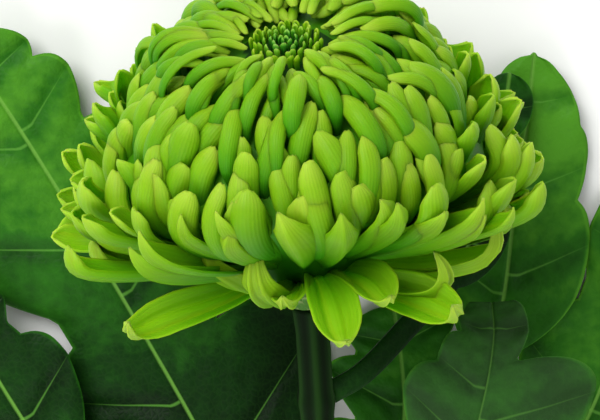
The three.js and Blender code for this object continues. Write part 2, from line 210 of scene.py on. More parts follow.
def floret_tissue():
    """Ray florets: thin waxy plant tissue that lets some light through. Deep green at the base and lime at
    the tip, which is partly their own colour and partly painted shade where the bases lie deep between
    florets, and darker still in the eye, which is painted shade of its hollow. Some florets are deeper than
    others. Fine veins run the length of the floret about 0.5 mm apart, and the skin has a grain of about
    0.45 mm, which gives it a soft sheen."""
    material, tree, shader, maps = tissue("floret_tissue", Roughness=0.5, IOR=1.4, Specular_IOR_Level=0.2,
                                          Subsurface_Weight=0.45, Subsurface_Scale=0.004,
                                          Subsurface_Radius=(0.6, 1.0, 0.2))
    place, lengthways, _, tint, ring = maps
    # Deep green at the base to lime at the tip: partly the florets' own colour, partly painted shade where
    # the bases lie deep between florets
    body = add(tree, "ShaderNodeValToRGB", 0, {"stops": [
        (0.0, "#2c7a0a"), (0.3, "#38880a"), (0.5, "#54990a"), (0.7, "#70aa0c"), (0.88, "#86b616"),
        (1.0, "#a6cb38")]}, i0=lengthways)
    # Painted shade: the eye's hollow, a darker green than the other florets
    eye = add(tree, "ShaderNodeValToRGB", 0, {"stops": [
        (0.0, "#0a2b06"), (0.6, "#184a0e"), (0.85, "#37801e"), (1.0, "#86c24f")]}, i0=lengthways)
    inward = add(tree, "ShaderNodeMath", 0, MINUS, i0=EYE_SHADE_TO, i1=ring)
    near_eye = add(tree, "ShaderNodeMath", 0, TIMES_UP_TO_ONE, i0=inward, i1=EYE_SHADE_STEEPNESS)
    colour = add(tree, "ShaderNodeMix", 2, MIXED, i0=near_eye, i6=body, i7=eye)
    deeper = add(tree, "ShaderNodeMix", 2, DEEPENED, i0=1.0, i6=colour, i7=linear("#c4dd84"))
    share = add(tree, "ShaderNodeMath", 0, TIMES, i0=tint, i1=0.65)
    colour = add(tree, "ShaderNodeMix", 2, MIXED, i0=share, i6=colour, i7=deeper)
    veins = add(tree, "ShaderNodeTexWave", 1, {"wave_type": "BANDS", "bands_direction": "Y"}, Vector=place,
                Scale=4.0, Distortion=0.4, Detail=1.0)
    share = add(tree, "ShaderNodeMath", 0, TIMES, i0=veins, i1=0.06)
    veined = add(tree, "ShaderNodeMix", 2, MIXED, i0=share, i6=colour, i7=linear("#3c8a08"))
    tree.links.new(veined, shader.inputs["Base Color"])
    where = add(tree, "ShaderNodeTexCoord", 3, {})
    fine = add(tree, "ShaderNodeTexNoise", 0, {}, Vector=where, Scale=2200.0, Detail=2.0)
    grain = add(tree, "ShaderNodeMath", 0, TIMES, i0=fine, i1=0.5)
    height = add(tree, "ShaderNodeMath", 0, PLUS, i0=veins, i1=grain)
    relief = add(tree, "ShaderNodeBump", 0, {}, Strength=0.25, Distance=0.15 * MM, Height=height)
    tree.links.new(relief, shader.inputs["Normal"])
    return material


# How far out a drawn vein fades, in half widths
VEIN_FADES_AT = 1.5


def leaf_tissue():
    """A leaf blade: a leathery dark green skin with a soft gloss, pale veins in its upper face, a faint
    net of cells of about 1.6 mm between them, and a duller, paler underside. Its green is uneven in
    clouds of about 22 mm and in mottles of about 3 mm, which is partly its own uneven tone and partly
    painted sheen. The lightness it is given holds painted shade in its folds and a painted highlight along
    its edge."""
    material, tree, shader, maps = tissue("leaf_tissue", IOR=1.4, Specular_IOR_Level=0.1)
    _, from_rib, from_vein, light, upper = maps
    where = add(tree, "ShaderNodeTexCoord", 3, {})
    shade = light
    # Clouds and mottles: partly the leaf's uneven tone, partly painted sheen
    for scale, strength, how in ((45.0, 0.8, PLUS), (330.0, 0.35, PLUS_UP_TO_ONE)):
        cloudy = add(tree, "ShaderNodeTexNoise", 0, {}, Vector=where, Scale=scale, Detail=3.0)
        tone_and_painted_sheen = add(tree, "ShaderNodeMath", 0, MINUS, i0=cloudy, i1=0.5)
        tone_and_painted_sheen = add(tree, "ShaderNodeMath", 0, TIMES, i0=tone_and_painted_sheen, i1=strength)
        shade = add(tree, "ShaderNodeMath", 0, how, i0=shade, i1=tone_and_painted_sheen)
    blade = add(tree, "ShaderNodeValToRGB", 0, {"stops": [
        (0.0, "#082006"), (0.3, "#0f340a"), (0.7, "#286614"), (1.0, "#4b8c20")]}, i0=shade)
    under = add(tree, "ShaderNodeMix", 2, MIXED, i0=0.5, i6=blade, i7=linear("#47683c"))
    net = add(tree, "ShaderNodeTexVoronoi", 0, {"feature": "DISTANCE_TO_EDGE"}, Vector=where, Scale=620.0)
    from_edge = add(tree, "ShaderNodeMath", 0, TIMES, i0=net, i1=6.0)
    netted = add(tree, "ShaderNodeMath", 0, MINUS_DOWN_TO_NOUGHT, i0=1.0, i1=from_edge)
    share = add(tree, "ShaderNodeMath", 0, TIMES, i0=netted, i1=0.03)
    body = add(tree, "ShaderNodeMix", 2, MIXED, i0=share, i6=blade, i7=linear("#4d8c2c"))
    for distance, half_width, strength, code in ((from_vein, 0.35, 0.6, "#5c9a38"),
                                                 (from_rib, 0.42, 0.8, "#6ba23f")):
        off = add(tree, "ShaderNodeMath", 0, TIMES, i0=distance, i1=1 / half_width)
        line = add(tree, "ShaderNodeMath", 0, MINUS_DOWN_TO_NOUGHT, i0=VEIN_FADES_AT, i1=off)
        share = add(tree, "ShaderNodeMath", 0, TIMES, i0=line, i1=strength)
        body = add(tree, "ShaderNodeMix", 2, MIXED, i0=share, i6=body, i7=linear(code))
    # Where a leaf's upper face takes a share of the underside's grey-green, that is a painted sheen
    colour = add(tree, "ShaderNodeMix", 2, MIXED, i0=upper, i6=under, i7=body)
    tree.links.new(colour, shader.inputs["Base Color"])
    smoother = add(tree, "ShaderNodeMath", 0, TIMES, i0=upper, i1=0.2)
    gloss = add(tree, "ShaderNodeMath", 0, MINUS, i0=0.65, i1=smoother)
    tree.links.new(gloss, shader.inputs["Roughness"])
    cells = add(tree, "ShaderNodeMath", 0, TIMES_UP_TO_ONE, i0=net, i1=3.0)
    relief = add(tree, "ShaderNodeBump", 0, {}, Strength=0.2, Distance=0.3 * MM, Height=cells)
    tree.links.new(relief, shader.inputs["Normal"])
    return material


def stem_tissue():
    """The stem: dark green, woody at its foot, with paler ribs and fine fibres about 0.15 mm wide, which
    are long near the bloom and short at the foot. Its cut end shows the pale pith."""
    material, tree, shader, maps = tissue("stem_tissue", Roughness=0.6, IOR=1.4, Specular_IOR_Level=0.08)
    place, down, _, ribs, pith = maps
    stretched = add(tree, "ShaderNodeMapping", 0, {}, Vector=place, Scale=(14.0, 60.0, 1.0))
    fibres = add(tree, "ShaderNodeTexNoise", 0, {}, Vector=stretched, Scale=3.0, Detail=4.0)
    green = add(tree, "ShaderNodeValToRGB", 0, {"stops": [
        (0.0, "#071604"), (0.6, "#0f260a"), (1.0, "#1d3c12")]}, i0=ribs)
    share = add(tree, "ShaderNodeMath", 0, TIMES, i0=down, i1=0.45)
    foot = add(tree, "ShaderNodeMix", 2, MIXED, i0=share, i6=green, i7=linear("#3c4a1c"))
    share = add(tree, "ShaderNodeMath", 0, TIMES, i0=fibres, i1=0.35)
    streaked = add(tree, "ShaderNodeMix", 2, MIXED, i0=share, i6=foot, i7=linear("#0a1c06"))
    colour = add(tree, "ShaderNodeMix", 2, MIXED, i0=pith, i6=streaked, i7=linear("#c9d6a0"))
    tree.links.new(colour, shader.inputs["Base Color"])
    relief = add(tree, "ShaderNodeBump", 0, {}, Strength=0.3, Distance=0.3 * MM, Height=fibres)
    tree.links.new(relief, shader.inputs["Normal"])
    return material


def bract_tissue():
    """The bracts of the calyx: matt green scales, a little speckled, with thin papery margins."""
    material, tree, shader, maps = tissue("bract_tissue", Roughness=0.6, IOR=1.4, Specular_IOR_Level=0.3)
    place, _, _, margin, _ = maps
    speck = add(tree, "ShaderNodeTexNoise", 0, {}, Vector=place, Scale=14.0, Detail=3.0)
    green = add(tree, "ShaderNodeValToRGB", 0, {"stops": [(0.2, "#2f5e1a"), (0.8, "#568a2c")]}, i0=speck)
    colour = add(tree, "ShaderNodeMix", 2, MIXED, i0=margin, i6=green, i7=linear("#93a765"))
    tree.links.new(colour, shader.inputs["Base Color"])
    relief = add(tree, "ShaderNodeBump", 0, {}, Strength=0.3, Distance=0.2 * MM, Height=speck)
    tree.links.new(relief, shader.inputs["Normal"])
    return material


# The bloom

# How high its middle lies, how far its face is raised above level and how far it is turned to the left
BLOOM_MIDDLE, FACE_RAISED_DEG, FACE_TURNED_DEG = 54, 8, 5

# The dome that the tips lie on, from the bloom's middle: its radius, its height, the depth of the skirt
# below it, and how much narrower it is halfway up
BLOOM_RADIUS = 57.0
DOME_HEIGHT = 55.0
SKIRT_DEPTH = 26.0
SHOULDER = 0.08

# The eye: how far it is off the dome's axis in radians, how deep it is sunk, the angles between which its
# hollow ends, the angle within which its florets stand straight, the depths of their lines' corners below
# their tips, and how far the florets round it reach in over it
EYE_OFF_AXIS = 0.28
EYE_DEPTH, EYE_HOLLOW = 3.5, (0.12, 0.42)
EYE_ANGLE, EYE_CORNERS = 0.16, (10, 7, 4, 1)
OVER_EYE = 1.5

# The core, and the receptacle under it that the florets grow from
CORE_RADIUS, CORE_MIDDLE, CORE_RISE = 43.0, 12.0, 35.0
BASE_RADIUS, BASE_HEIGHT, BASE_FLARE = 11.0, -14.0, 1.2
ROOT_TOP, ROOT_SPREAD = -4, 7

# The angles of the first and the last ring, and of the last one on the upper side
FIRST_ANGLE, LAST_ANGLE, LAST_ANGLE_ABOVE = 0.02, 2.06, 1.14

# By the angle of the tip down from the eye, in radians: how far the tip points out from the dome in
# degrees, the distance to the neighbour in the ring, the step to the next ring in radians, how far
# neighbours are set off from each other in radians, half the width, and how much of the floret follows
# its tip's direction
TIP_LIFT = [(0.02, 80), (0.12, 70), (0.14, -8), (0.3, -4), (0.5, 12), (0.8, 34), (1.1, 48), (1.5, 56),
            (1.75, 62), (1.9, 68), (2.06, 84)]
PITCH = [(0.02, 1.6), (0.1, 2.0), (0.15, 2.1), (0.32, 2.8), (0.5, 3.9), (0.7, 4.9), (0.85, 5.7), (1, 6.5),
         (1.5, 8.0), (2.1, 9.0)]
RING_STEP = [(0.02, 0.04), (0.15, 0.04), (0.22, 0.05), (0.26, 0.2), (0.3, 0.2), (0.46, 0.18), (0.7, 0.17),
             (0.9, 0.17), (1.4, 0.18), (2.0, 0.17)]
STAGGER = [(0.02, 0.015), (0.28, 0.02), (0.42, 0.07), (0.9, 0.09), (2.0, 0.1)]
HALF_WIDTH = [(0.02, 0.6), (0.155, 0.85), (0.17, 1.2), (0.3, 1.9), (0.5, 2.5), (0.7, 3.0), (0.9, 3.3)]
HANDLE = [(0.02, 0.45), (0.12, 0.5), (0.16, 0.6), (0.4, 0.58), (0.9, 0.48), (2.06, 0.45)]

# By how old a floret is, which is its angle, and more where the head ends sooner: half the width from the
# age OLD, how far it is cupped, the length over which it turns up, and the direction above level in which
# it leaves
OLD = 0.9
OLD_HALF_WIDTH = [(0.9, 3.3), (1.3, 3.7), (1.6, 4.1), (2.06, 4.5)]
CUPPED_DEG = [(0.1, 110), (0.8, 98), (1.1, 92), (1.6, 80), (2.1, 58)]
UPTURN = [(0.9, 24), (1.2, 15), (1.6, 14), (2.06, 12)]
LEAVING = [(0.1, 80), (0.5, 50), (0.9, 24), (1.3, 4), (1.6, -8), (2.1, -16)]

# The ages at which the inner and the middle piece of the bloom end
INNER_TO, MIDDLE_TO = 0.75, 1.35

# How widely the draws spread a tip's direction, a floret's width and length, its sway in its ring, its
# twist in radians and its curl, and places in a ring, as a share of the distance to the neighbour
LIFT_SPREAD_DEG, WIDTH_SPREAD, LENGTH_SPREAD, SWAY_SPREAD, TWIST_SPREAD = 26, 0.4, 0.08, 1.1, 1.0
CURL_LEAST_DEG, CURL_SPREAD_DEG = 24, 30
PLACE_SPREAD = 0.5

# In degrees, what is added to a tip's direction under the bloom, to the cup of a floret of middle age or
# more, and to an old one's curl, the last two but for the upper side
UNDER_LIFT_DEG, MORE_CUPPED_DEG, MORE_CURLED_DEG = 40, 35, 40

# The depth of a young floret's grooves, what an old one adds to it, an old one's keel on the upper side,
# as a share of its half width, and how much paler its base is
GROOVE_DEPTH, OLD_GROOVE_DEPTH, OLD_KEEL, OLD_PALER = 0.1, 0.35, 0.45, 0.25

# The spreading and hanging florets on the upper side: azimuth, reach and height of the tip, its direction
# above level, the direction in which the floret leaves, half width, twist in degrees
HANGING = [
    (-145, 59, -19, -26, -16, 4.9, 40),
    (-131, 42, 5, 30, -18, 4.6, 0),
    (-108, 44, 4, 44, -24, 5.0, 0),
    (-98, 40, -12, -40, -10, 4.6, 0),
    (-81, 47, -21, -62, 14, 5.8, 0),
    (-64, 44, -14, -52, 8, 5.4, -12),
    (-45, 56, -19, -26, -12, 5.6, -40),
    (-24, 58, -3, 22, -9, 5.7, 0),
    (-39, 49, -6, 34, -11, 5.2, -10),
]


def bloom_rows():
    """The bloom's frame, in which z is its axis, out of its face, and azimuth -90 is its upper side."""
    raised = Matrix.Rotation(math.radians(FACE_RAISED_DEG - 90), 4, "X")
    turn = Matrix.Rotation(math.radians(FACE_TURNED_DEG), 4, "Z") @ raised
    return np.array(Matrix.Translation(Vector((0, 0, BLOOM_MIDDLE))) @ turn)


def dome_size(height):
    """The half axes of the dome, or of the skirt under it, whichever holds the height."""
    return np.array([BLOOM_RADIUS, BLOOM_RADIUS, DOME_HEIGHT if height > 0 else SKIRT_DEPTH])


def tip_place(angle, azimuth):
    """A tip's place. The eye is off the dome's axis, towards its upper side, and the dome's shoulders are
    narrow."""
    shoulder = 1 - SHOULDER * math.sin(2 * min(angle, math.pi / 2)) ** 2
    x = shoulder * math.sin(angle) * math.cos(azimuth)
    y = math.sin(angle) * math.sin(azimuth)
    z = math.cos(angle)
    off = EYE_OFF_AXIS * max(0.0, z)
    y, z = y * math.cos(off) - z * math.sin(off), y * math.sin(off) + z * math.cos(off)
    sunk = EYE_DEPTH * (1 - smooth(angle, *EYE_HOLLOW))
    return dome_size(z) * [x, y, z] - [0, 0, sunk]


def level_way(azimuth, reach, height):
    """A place by its azimuth, its reach from the axis and its height."""
    return np.array([reach * math.cos(azimuth), reach * math.sin(azimuth), height])


def floret_line(azimuth, tip, direction, leaving, rooted, handle=0.45, upturn=0.0, late=0.0):
    """The middle line of a floret from the receptacle to its tip, as the corners of a Bezier curve. The
    older it is, the lower and farther out it is rooted. Where late is 1 it runs out straight and turns up
    only over the length of the upturn."""
    root = level_way(azimuth, 1 + ROOT_SPREAD * rooted, ROOT_TOP - ROOT_SPREAD * rooted)
    far = np.linalg.norm(tip - root)
    leave = math.radians(leaving)
    first = root + level_way(azimuth, 0.45 * far * math.cos(leave), 0.45 * far * math.sin(leave))
    bend = tip - (handle * far + late * (upturn - handle * far)) * direction
    return [root, first + late * (root + 0.7 * (bend - root) - first), bend, tip]


# Points across a floret's back and face, those of a tongue, and stations along both, crowded at the tip
ACROSS, ACROSS_TONGUE, STATIONS, CROWDED = (11, 5), (23, 23), 16, 1.8

# A floret's thickness, and its face's width as a share of its back's, which leaves its edges thin
FLORET_THICKNESS, FACE_WIDTH = 0.5, 0.94

# The shares of the way between which the end curls in, and from which its teeth grow
CURLS_FROM, CURLS_TO, TOOTHED_FROM = 0.66, 1.05, 0.8

# As shares of a floret's half width: its two grooves' place and width, and the length of its teeth
GROOVE_AT, GROOVE_WIDTH, TOOTH_LENGTH = 0.34, 0.13, 0.08

# How strongly the tip is rounded, and how much of the floret's cup opens towards it
TIP_ROUNDING, CUP_OPENS = 0.8, 0.15

# How deep in the core a floret begins, as a share of the core's size, and the share of the way along a
# floret where it begins if none of it is in the core
UNDER_CORE, ALWAYS_OUT = 0.96, 0.2

# By the share of the way along a floret, its width as a share of the widest: an incurved finger, a broad
# tongue that narrows to a small nub, and a wedge
FINGER = [(0, 0.5), (0.35, 0.85), (0.6, 1.0), (0.8, 1.0), (0.92, 0.94), (1, 0.84)]
TONGUE = [(0, 0.5), (0.25, 0.8), (0.5, 1.0), (0.7, 0.94), (0.84, 0.62), (0.92, 0.42), (0.97, 0.38),
          (1, 0.1)]
WEDGE = [(0, 0.7), (0.35, 0.95), (0.55, 1.0), (0.75, 0.82), (0.9, 0.5), (1, 0.22)]


def above_core(line):
    """The share of a floret's line at which it comes out of the core."""
    share = np.linspace(0.0, 1.0, 40)
    points, _ = bezier(line, share)
    reach, height = np.hypot(points[:, 0], points[:, 1]), points[:, 2]
    dome = np.hypot(reach / CORE_RADIUS, (height - CORE_MIDDLE) / CORE_RISE)
    funnel = reach / np.maximum(BASE_RADIUS + (height - BASE_HEIGHT) * BASE_FLARE, 1)
    inside = np.nonzero(np.where(height > CORE_MIDDLE, dome, funnel) < UNDER_CORE)[0]
    return share[inside[-1]] if len(inside) else ALWAYS_OUT


def floret_spine(line, share, across, twist, curl):
    """Points along a floret's middle, with the directions forward, aside and outward from the dome at
    each, and its length. It is twisted about its middle, and its end curls in."""
    start = above_core(line)
    here, forward = bezier(line, start + (1 - start) * share)
    side = unit(across - (forward @ across)[:, None] * forward)
    side, outward = rolled(side, np.cross(side, forward), twist)
    curled = math.radians(curl) * smooth(share, CURLS_FROM, CURLS_TO)
    outward, forward = rolled(outward, forward, curled[:, None])
    lengths = steps_between(here)
    steps = unit(forward[1:] + forward[:-1]) * lengths[:, None]
    here = here[0] + np.vstack([np.zeros((1, 3)), np.cumsum(steps, axis=0)])
    return here, forward, side, outward, lengths.sum()


def floret(skin, line, across, half_width, cupped, tint, ring, curl, twist, grooved, paler, keel=0.0,
           shape=FINGER, points=ACROSS):
    """One floret: a strip cupped towards the dome, with a blunt, faintly toothed tip. Grooved is the
    depth of two grooves along it, or below nought the height of two ribs, and a keel folds it along its
    middle. Paler is where on the way from the base's to the tip's colour it begins."""
    share = 1 - (1 - np.linspace(0, 1, STATIONS)) ** CROWDED
    here, forward, side, outward, length = floret_spine(line, share, across, twist, curl)
    rounded = half_width / length
    end = np.sqrt(1 - TIP_ROUNDING * np.clip((share - 1 + rounded) / rounded, 0, 1) ** 2)
    width = (half_width * along(shape, share) * end)[:, None]
    bend = (np.radians(cupped) * (1 - CUP_OPENS * share))[:, None]
    radius = width / np.where(bend > math.pi / 2, 1.0, np.sin(np.minimum(bend, math.pi / 2)))
    face_radius = np.maximum(radius - FLORET_THICKNESS, 0.1 * radius)
    back = np.linspace(-1, 1, points[0])[None, :]
    face = np.linspace(1, -1, points[1])[None, :] * FACE_WIDTH
    both = np.hstack([back, face])
    groove = grooved * np.exp(-((np.abs(both) - GROOVE_AT) / GROOVE_WIDTH) ** 2) * (width / half_width)
    if points[0] != points[1]:
        groove[:, points[0]:] = 0
    aside = np.hstack([radius * np.sin(back * bend), face_radius * np.sin(face * bend)])
    rise = np.hstack([radius * (np.cos(back * bend) - 1), face_radius * np.cos(face * bend) - radius])
    rise = rise - groove - keel * width * np.abs(both)
    toothed = smooth(share, TOOTHED_FROM, 1.0)[:, None]
    teeth = TOOTH_LENGTH * half_width * np.cos(3 * math.pi * both) * toothed
    rings = (here[:, None] + aside[..., None] * side[:, None] + rise[..., None] * outward[:, None]
             + teeth[..., None] * forward[:, None])
    uv = np.empty(rings.shape[:2] + (2,))
    uv[..., 0] = (paler + (1 - paler) * share)[:, None]
    uv[..., 1] = (both + 1) / 2
    skin.loft(rings[:, ::-1], uv[:, ::-1], (tint, ring))


def floret_places(draw):
    """Where the tips lie, as (angle, azimuth): rings round the eye, in which neighbours are set off."""
    angle = FIRST_ANGLE
    while angle < LAST_ANGLE:
        pitch, stagger = along(PITCH, angle), along(STAGGER, angle)
        count = max(3, round(2 * math.pi * BLOOM_RADIUS * math.sin(angle) / pitch))
        offset = draw.random()
        for k in range(count):
            shift = stagger * (k % 2) + spread(draw, 0.8 * stagger)
            yield angle + shift, 2 * math.pi * (k + offset + spread(draw, PLACE_SPREAD)) / count
        angle += along(RING_STEP, angle)


def head_floret(skins, draw, angle, azimuth):
    """One floret of the dome or the skirt, unless the head ends before it. Those at the bloom's sides are
    more ragged, those under it stand out more, and the oldest are keeled above and more cupped and curled
    elsewhere."""
    ragged = 1 + smooth(abs(math.cos(azimuth)), 0.6, 0.9) * smooth(angle, 0.8, 1.2)
    standing = UNDER_LIFT_DEG * smooth(math.sin(azimuth), -0.1, 0.7) * smooth(angle, 0.6, 0.95)
    lift = math.radians(along(TIP_LIFT, angle) + standing + spread(draw, LIFT_SPREAD_DEG * ragged))
    wider = 1 + spread(draw, WIDTH_SPREAD)
    longer = 1.02 + spread(draw, LENGTH_SPREAD * ragged)
    sway = spread(draw, SWAY_SPREAD)
    twist = spread(draw, TWIST_SPREAD)
    curl = CURL_LEAST_DEG + CURL_SPREAD_DEG * draw.random()
    tint = draw.random()
    last = LAST_ANGLE + (LAST_ANGLE_ABOVE - LAST_ANGLE) * ((1 - math.sin(azimuth)) / 2) ** 1.8
    if angle > last:
        return
    age = angle + (LAST_ANGLE - last) * smooth(angle, last - 0.3, last)
    old = smooth(age, 1.35, 1.75)
    above = smooth(-math.sin(azimuth), 0.3, 0.7)
    tip = tip_place(angle, azimuth)
    outward = unit(tip / dome_size(tip[2]) ** 2)
    eyeward = tip_place(0, 0) - tip
    eyeward = unit(eyeward - (eyeward @ outward) * outward)
    across = np.cross(eyeward, outward)
    if angle < EYE_ANGLE:
        line = [tip - outward * depth for depth in EYE_CORNERS]
    else:
        direction = unit((eyeward + sway * across) * math.cos(lift) + outward * math.sin(lift))
        inward = OVER_EYE * (1 - smooth(angle, 0.2, 0.4))
        line = floret_line(azimuth, tip * longer + inward * eyeward, direction, along(LEAVING, age),
                           smooth(age, 0.2, 1.8), along(HANDLE, angle), along(UPTURN, age),
                           smooth(age, 0.95, 1.25))
    floret(skins[0 if age < INNER_TO else 1 if age < MIDDLE_TO else 2], line, across,
           half_width=wider * along(HALF_WIDTH if age < OLD else OLD_HALF_WIDTH, age),
           cupped=along(CUPPED_DEG, age) + MORE_CUPPED_DEG * smooth(age, 0.8, 1.2) * (1 - above),
           tint=tint, ring=angle, curl=curl + MORE_CURLED_DEG * old * (1 - above), twist=twist,
           grooved=GROOVE_DEPTH + OLD_GROOVE_DEPTH * old, paler=OLD_PALER * old,
           keel=OLD_KEEL * old * above, shape=WEDGE if age > 1.6 and above > 0.5 else FINGER)


# What the spreading and hanging florets share: broad tongues with raised ribs, whose nubs curl over
HANGING_LOOK = {"cupped": 62, "tint": 0.2, "ring": 1.9, "curl": 110, "grooved": -1.5, "paler": 0.5,
                "shape": TONGUE, "points": ACROSS_TONGUE}


def hanging_floret(skin, degrees_round, reach, height, direction, leaving, half_width, twist):
    """One spreading or hanging floret."""
    azimuth, slope = math.radians(degrees_round), math.radians(direction)
    line = floret_line(azimuth, level_way(azimuth, reach, height),
                       level_way(azimuth, math.cos(slope), math.sin(slope)), leaving, rooted=1.0)
    across = np.array([-math.sin(azimuth), math.cos(azimuth), 0.0])
    floret(skin, line, across, half_width, twist=math.radians(twist), **HANGING_LOOK)


def core(skin):
    """The mass of floret bases behind the florets that show, painted dark green as the shade in the gaps
    between them, and darker still on its lower part, which is painted shade too. Near the eye it has the
    eye's painted shade.
    """
    profile = [(BASE_RADIUS, BASE_HEIGHT), (20, -6), (31, 3)]
    climb = np.linspace(0, 1.5, 12)
    profile += [(CORE_RADIUS * math.cos(a), CORE_MIDDLE + CORE_RISE * math.sin(a)) for a in climb]
    turns = np.linspace(0, 2 * math.pi, 48, endpoint=False)
    rings = np.array([round_ring(radius, height, turns) for radius, height in profile])
    uv = np.zeros(rings.shape[:2] + (2,))
    # Painted shade: the core is a dark green, darkest on its lower part
    uv[..., 0] = 0.42 * smooth(rings[..., 2], 0, 16)
    extra = np.full(uv.shape, 0.5)
    extra[..., 1] = smooth(np.linalg.norm(rings - tip_place(0, 0), axis=-1), 12, 16)
    skin.loft(rings, uv, extra)


def bloom():
    """The flower head in three pieces, by the florets' age. The core goes with the inner one."""
    material = floret_tissue()
    draw = random.Random(11)
    skins = [Skin(), Skin(), Skin()]
    for angle, azimuth in list(floret_places(draw)):
        head_floret(skins, draw, angle, azimuth)
    for row in HANGING:
        hanging_floret(skins[2], *row)
    core(skins[0])
    for title, skin in zip(("bloom_inner_florets", "bloom_middle_florets", "bloom_outer_florets"), skins):
        skin.piece(title, material, ["bloom"], "petal_lime", bloom_rows())


# Calyx

CALYX_BOTTOM, CALYX_TOP = -22.0, BASE_HEIGHT - 0.3
CUP = [(4.9, CALYX_BOTTOM), (6.4, CALYX_BOTTOM + 1.2), (9.4, CALYX_TOP - 2), (BASE_RADIUS - 0.6, CALYX_TOP)]
BRACT_ROWS, BRACTS_ROUND, ROW_STEP = 4, 13, 1.35
BRACT_LENGTH, BRACT_THICKNESS = 3.6, 0.5


def bract(skin, row, turn):
    """One bract: a blunt scale that stands a little off the cup at its tip, with a papery margin."""
    share = np.linspace(0, 1, 8)
    across = np.linspace(-1, 1, 7)
    blunt = np.sqrt(np.clip(1 - (1.6 * (share - 0.4)) ** 4, 0.02, 1)) * (1 - 0.25 * share)
    half_width = (1.5 + 0.15 * row) * blunt
    height = CALYX_BOTTOM + 0.3 + ROW_STEP * row + BRACT_LENGTH * share
    radius = np.interp(height, [CALYX_BOTTOM, BASE_HEIGHT], [5.2, BASE_RADIUS - 0.3]) + 0.35 + 0.25 * share
    angle = turn + across * (half_width / radius)[:, None]
    edge = np.broadcast_to(radius[:, None] - 0.25 * across**2, angle.shape)
    up = np.broadcast_to(height[:, None], angle.shape)
    face, back = (np.stack([r * np.cos(angle), r * np.sin(angle), up], axis=-1)
                  for r in (edge, edge - BRACT_THICKNESS))
    margin = smooth(np.maximum(np.abs(across), 0.2 + 0.8 * share[:, None]), 0.72, 0.98)
    extra = np.hstack([margin, margin[:, ::-1]])
    lengthways = np.broadcast_to(share[:, None], extra.shape)
    uv = np.stack([lengthways, np.hstack([angle, angle[:, ::-1]])], axis=-1)
    skin.loft(np.hstack([face, back[:, ::-1]]), uv, np.stack([extra, 0 * extra], axis=-1))


def calyx():
    """The cup of overlapping bracts under the florets."""
    skin = Skin()
    draw = random.Random(5)
    turns = np.linspace(0, 2 * math.pi, 40, endpoint=False)
    cup = np.array([round_ring(radius, height, turns) for radius, height in CUP])
    skin.loft(cup, (0.0, 0.0), (0.0, 0.0))
    for row in range(BRACT_ROWS):
        for k in range(BRACTS_ROUND):
            bract(skin, row, 2 * math.pi * (k + 0.5 * (row % 2)) / BRACTS_ROUND + spread(draw, 0.1))
    skin.piece("calyx_bracts", bract_tissue(), ["calyx"], "calyx_green", bloom_rows())


# Stem

STEM_RADIUS = 4.2
STEM_RIBS, RIB_HEIGHT = 6, 0.24
STEM_POINTS = [(3.6, -58, 43.5), (4.2, -96, 34.5), (3, -146, 22.5), (0.5, -200, 11), (-2, -254, 4.4)]

# Old leaf scars on the bare foot, as (share of the way down, angle round), their height, and their half
# length and half width in the same units as their places
SCARS = [(0.66, 1.1), (0.78, 3.6), (0.9, 5.4)]
SCAR_HEIGHT, SCAR_LONG, SCAR_WIDE = 0.35, 0.008, 0.5

# How much the stem thickens under the calyx and where a leaf grows, and over what share of its length
NECK_FLARE, NECK_LONG = 0.5, 0.04
LEAF_SWELLING, SWELLING_LONG = 0.45, 0.013


def stem_line(share):
    """Points on the stem's middle line at the shares of the way from the calyx, and directions there."""
    rows = bloom_rows()
    neck = rows[:3, :3] @ np.array([0, 0, CALYX_BOTTOM - 0.6]) + rows[:3, 3]
    return spline([tuple(neck)] + STEM_POINTS, share)


def stem_radius(share):
    """The stem's radius without its ribs."""
    off = [(share - leaf["grows"]) / SWELLING_LONG for leaf in LEAVES.values()]
    swelling = np.max(np.exp(-np.array(off) ** 2), axis=0)
    return STEM_RADIUS + NECK_FLARE * (1 - smooth(share, 0, NECK_LONG)) + LEAF_SWELLING * swelling


def stem():
    """The ribbed stem, swollen at each leaf, with old leaf scars on its bare foot and a pale cut end."""
    skin = Skin()
    share = np.linspace(0, 1, 220)
    here, forward = stem_line(share)
    share = share[:, None]
    across = unit(np.cross(forward, [0, 0, 1]))
    up = np.cross(across, forward)
    angle = np.linspace(0, 2 * math.pi, 72, endpoint=False)[None, :]
    rib = np.cos(STEM_RIBS * angle + 0.6 * np.sin(9 * share))
    radius = stem_radius(share) + RIB_HEIGHT * rib + 0.05 * np.cos(2 * STEM_RIBS * angle)
    for place, round_at in SCARS:
        off = np.abs((angle - round_at + math.pi) % (2 * math.pi) - math.pi)
        radius = radius + SCAR_HEIGHT * np.exp(-((share - place) / SCAR_LONG) ** 2 - (off / SCAR_WIDE) ** 2)
    round_way = np.cos(angle)[..., None] * up[:, None] + np.sin(angle)[..., None] * across[:, None]
    rings = here[:, None] + radius[..., None] * round_way
    uv = np.stack(np.broadcast_arrays(share**3, angle / (2 * math.pi)), axis=-1)
    extra = np.stack([0.5 + 0.5 * rib, np.broadcast_to(share > 0.9995, rib.shape)], axis=-1)
    end = rings[-1]
    middle = end.mean(axis=0)
    pith = np.array([middle + (end - middle) * size for size in (0.97, 0.6, 0.2)])
    rings = np.concatenate([rings, pith])
    uv = np.concatenate([uv, np.broadcast_to(uv[-1:], (len(pith),) + uv.shape[1:])])
    extra = np.concatenate([extra, np.broadcast_to([0.5, 1.0], (len(pith),) + extra.shape[1:])])
    skin.loft(rings[:, ::-1], uv[:, ::-1], extra[:, ::-1])
    skin.piece("stem_ribbed", stem_tissue(), ["stem"], "stem_green")


# Leaves

BLADE_THICKNESS = 0.7
PETIOLE_HALF_WIDTH, PETIOLE_THICKNESS = 1.7, 2.4
MIDDLE_STRIP = 3                     # the least half width of the blade, but at its tip
SUNK_IN_STEM = 0.1
LOBE_SHEAR = 0.55                    # how far forward a lobe's tip is swept, as a share of its reach
LEAF_ARCH = 0.005                    # how a side droops, by its reach squared
